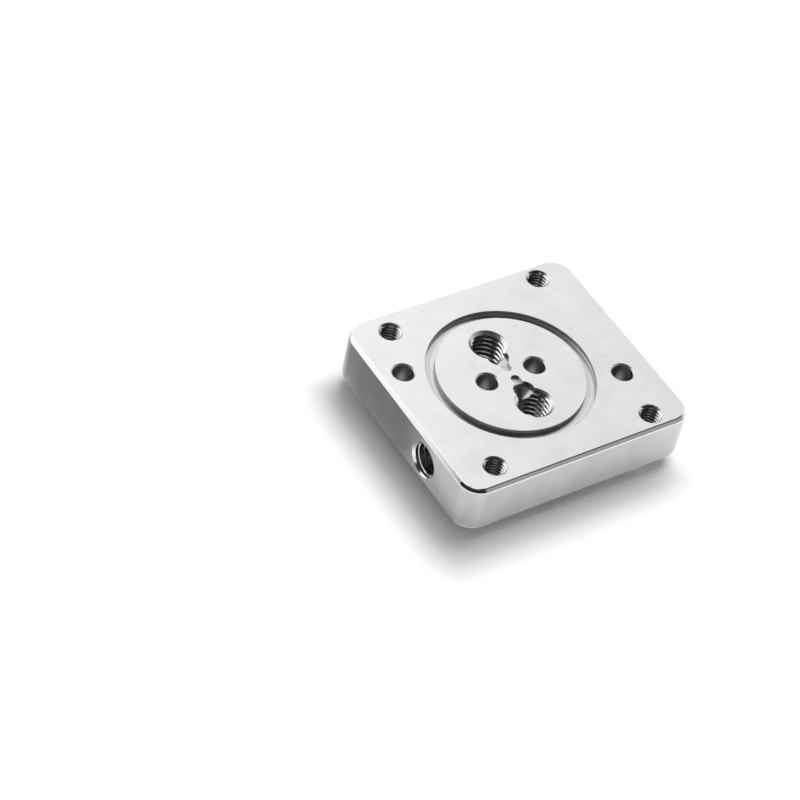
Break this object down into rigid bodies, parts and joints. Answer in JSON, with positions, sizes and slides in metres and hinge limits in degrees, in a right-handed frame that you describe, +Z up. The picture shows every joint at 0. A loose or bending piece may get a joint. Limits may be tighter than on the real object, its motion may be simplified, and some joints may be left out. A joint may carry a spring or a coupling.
{
  "type": "machined aluminium port block",
  "caption": "Machined aluminium port block with an O-ring groove, two threaded flow ports through an obround boss, a threaded side port, tapped screw holes and plain locating holes.",
  "frame": {"origin": "centre of the footprint, on the flat end of the boss that the block rests on", "axes": "+Z up, out of the O-ring face; +X along the long side, away from the face with the side port; +Y across"},
  "size_m": [0.055, 0.05, 0.0145],
  "materials": {
    "aluminium": "fine milled, satin"
  },
  "bodies": {
    "root": {"port_block": "aluminium"}
  },
  "joints": []
}
